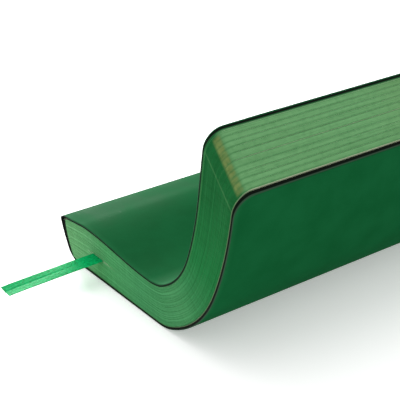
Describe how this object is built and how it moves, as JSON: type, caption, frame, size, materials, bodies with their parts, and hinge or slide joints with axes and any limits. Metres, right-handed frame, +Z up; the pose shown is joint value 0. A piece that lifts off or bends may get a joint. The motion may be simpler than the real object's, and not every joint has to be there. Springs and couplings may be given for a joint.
{
  "type": "soft-cover notebook",
  "caption": "Green soft-cover notebook with dyed page edges and a ribbon marker, lying on its back cover with its fore-edge part bent up; its covers and page block open on the spine.",
  "frame": {"origin": "centre of the bounding box at its base, on the face the notebook lies on; the free ribbon end is left out of that box", "axes": "+X from the spine to the fore-edge, +Y along the spine from the foot to the head, +Z up, away from the table"},
  "size_m": [0.1086, 0.2445, 0.0745],
  "materials": {
    "cover_skin": "matte fine-grained green imitation leather",
    "cover_board": "black core that shows at the cut edges",
    "endpaper": "uncoated paper, dyed green at its edges",
    "page_block": "cut page edges dyed green, matte",
    "spine_gauze": "open cotton gauze set in glue",
    "sewing_thread": "waxed thread",
    "ribbon": "bright green woven satin"
  },
  "bodies": {
    "back_cover": {"back_cover_skin": "cover_skin", "back_cover_board": "cover_board", "back_pastedown": "endpaper"},
    "rear_block": {"rear_spine_skin": "cover_skin", "rear_spine_lining": "spine_gauze", "back_flyleaf": "endpaper", "signature_06": "page_block", "signature_07": "page_block", "signature_08": "page_block", "signature_09": "page_block", "signature_10": "page_block", "rear_sewing_thread": "sewing_thread", "ribbon_marker": "ribbon", "ribbon_tail": "ribbon"},
    "front_block": {"front_spine_skin": "cover_skin", "front_spine_lining": "spine_gauze", "front_flyleaf": "endpaper", "signature_01": "page_block", "signature_02": "page_block", "signature_03": "page_block", "signature_04": "page_block", "signature_05": "page_block", "front_sewing_thread": "sewing_thread"},
    "front_cover": {"front_cover_skin": "cover_skin", "front_cover_board": "cover_board", "front_pastedown": "endpaper"}
  },
  "joints": [
    {"name": "back_cover_opening", "type": "hinge", "parent": "back_cover", "child": "rear_block", "pos_m": [-0.04773, 0, 0.00111], "axis": [0, -1, 0], "range_deg": [0, 20]},
    {"name": "middle_opening", "type": "hinge", "parent": "rear_block", "child": "front_block", "pos_m": [-0.05224, 0, 0.0077], "axis": [0, -1, 0], "range_deg": [0, 40]},
    {"name": "front_cover_opening", "type": "hinge", "parent": "front_block", "child": "front_cover", "pos_m": [-0.04963, 0, 0.01625], "axis": [0, -1, 0], "range_deg": [0, 90]}
  ]
}
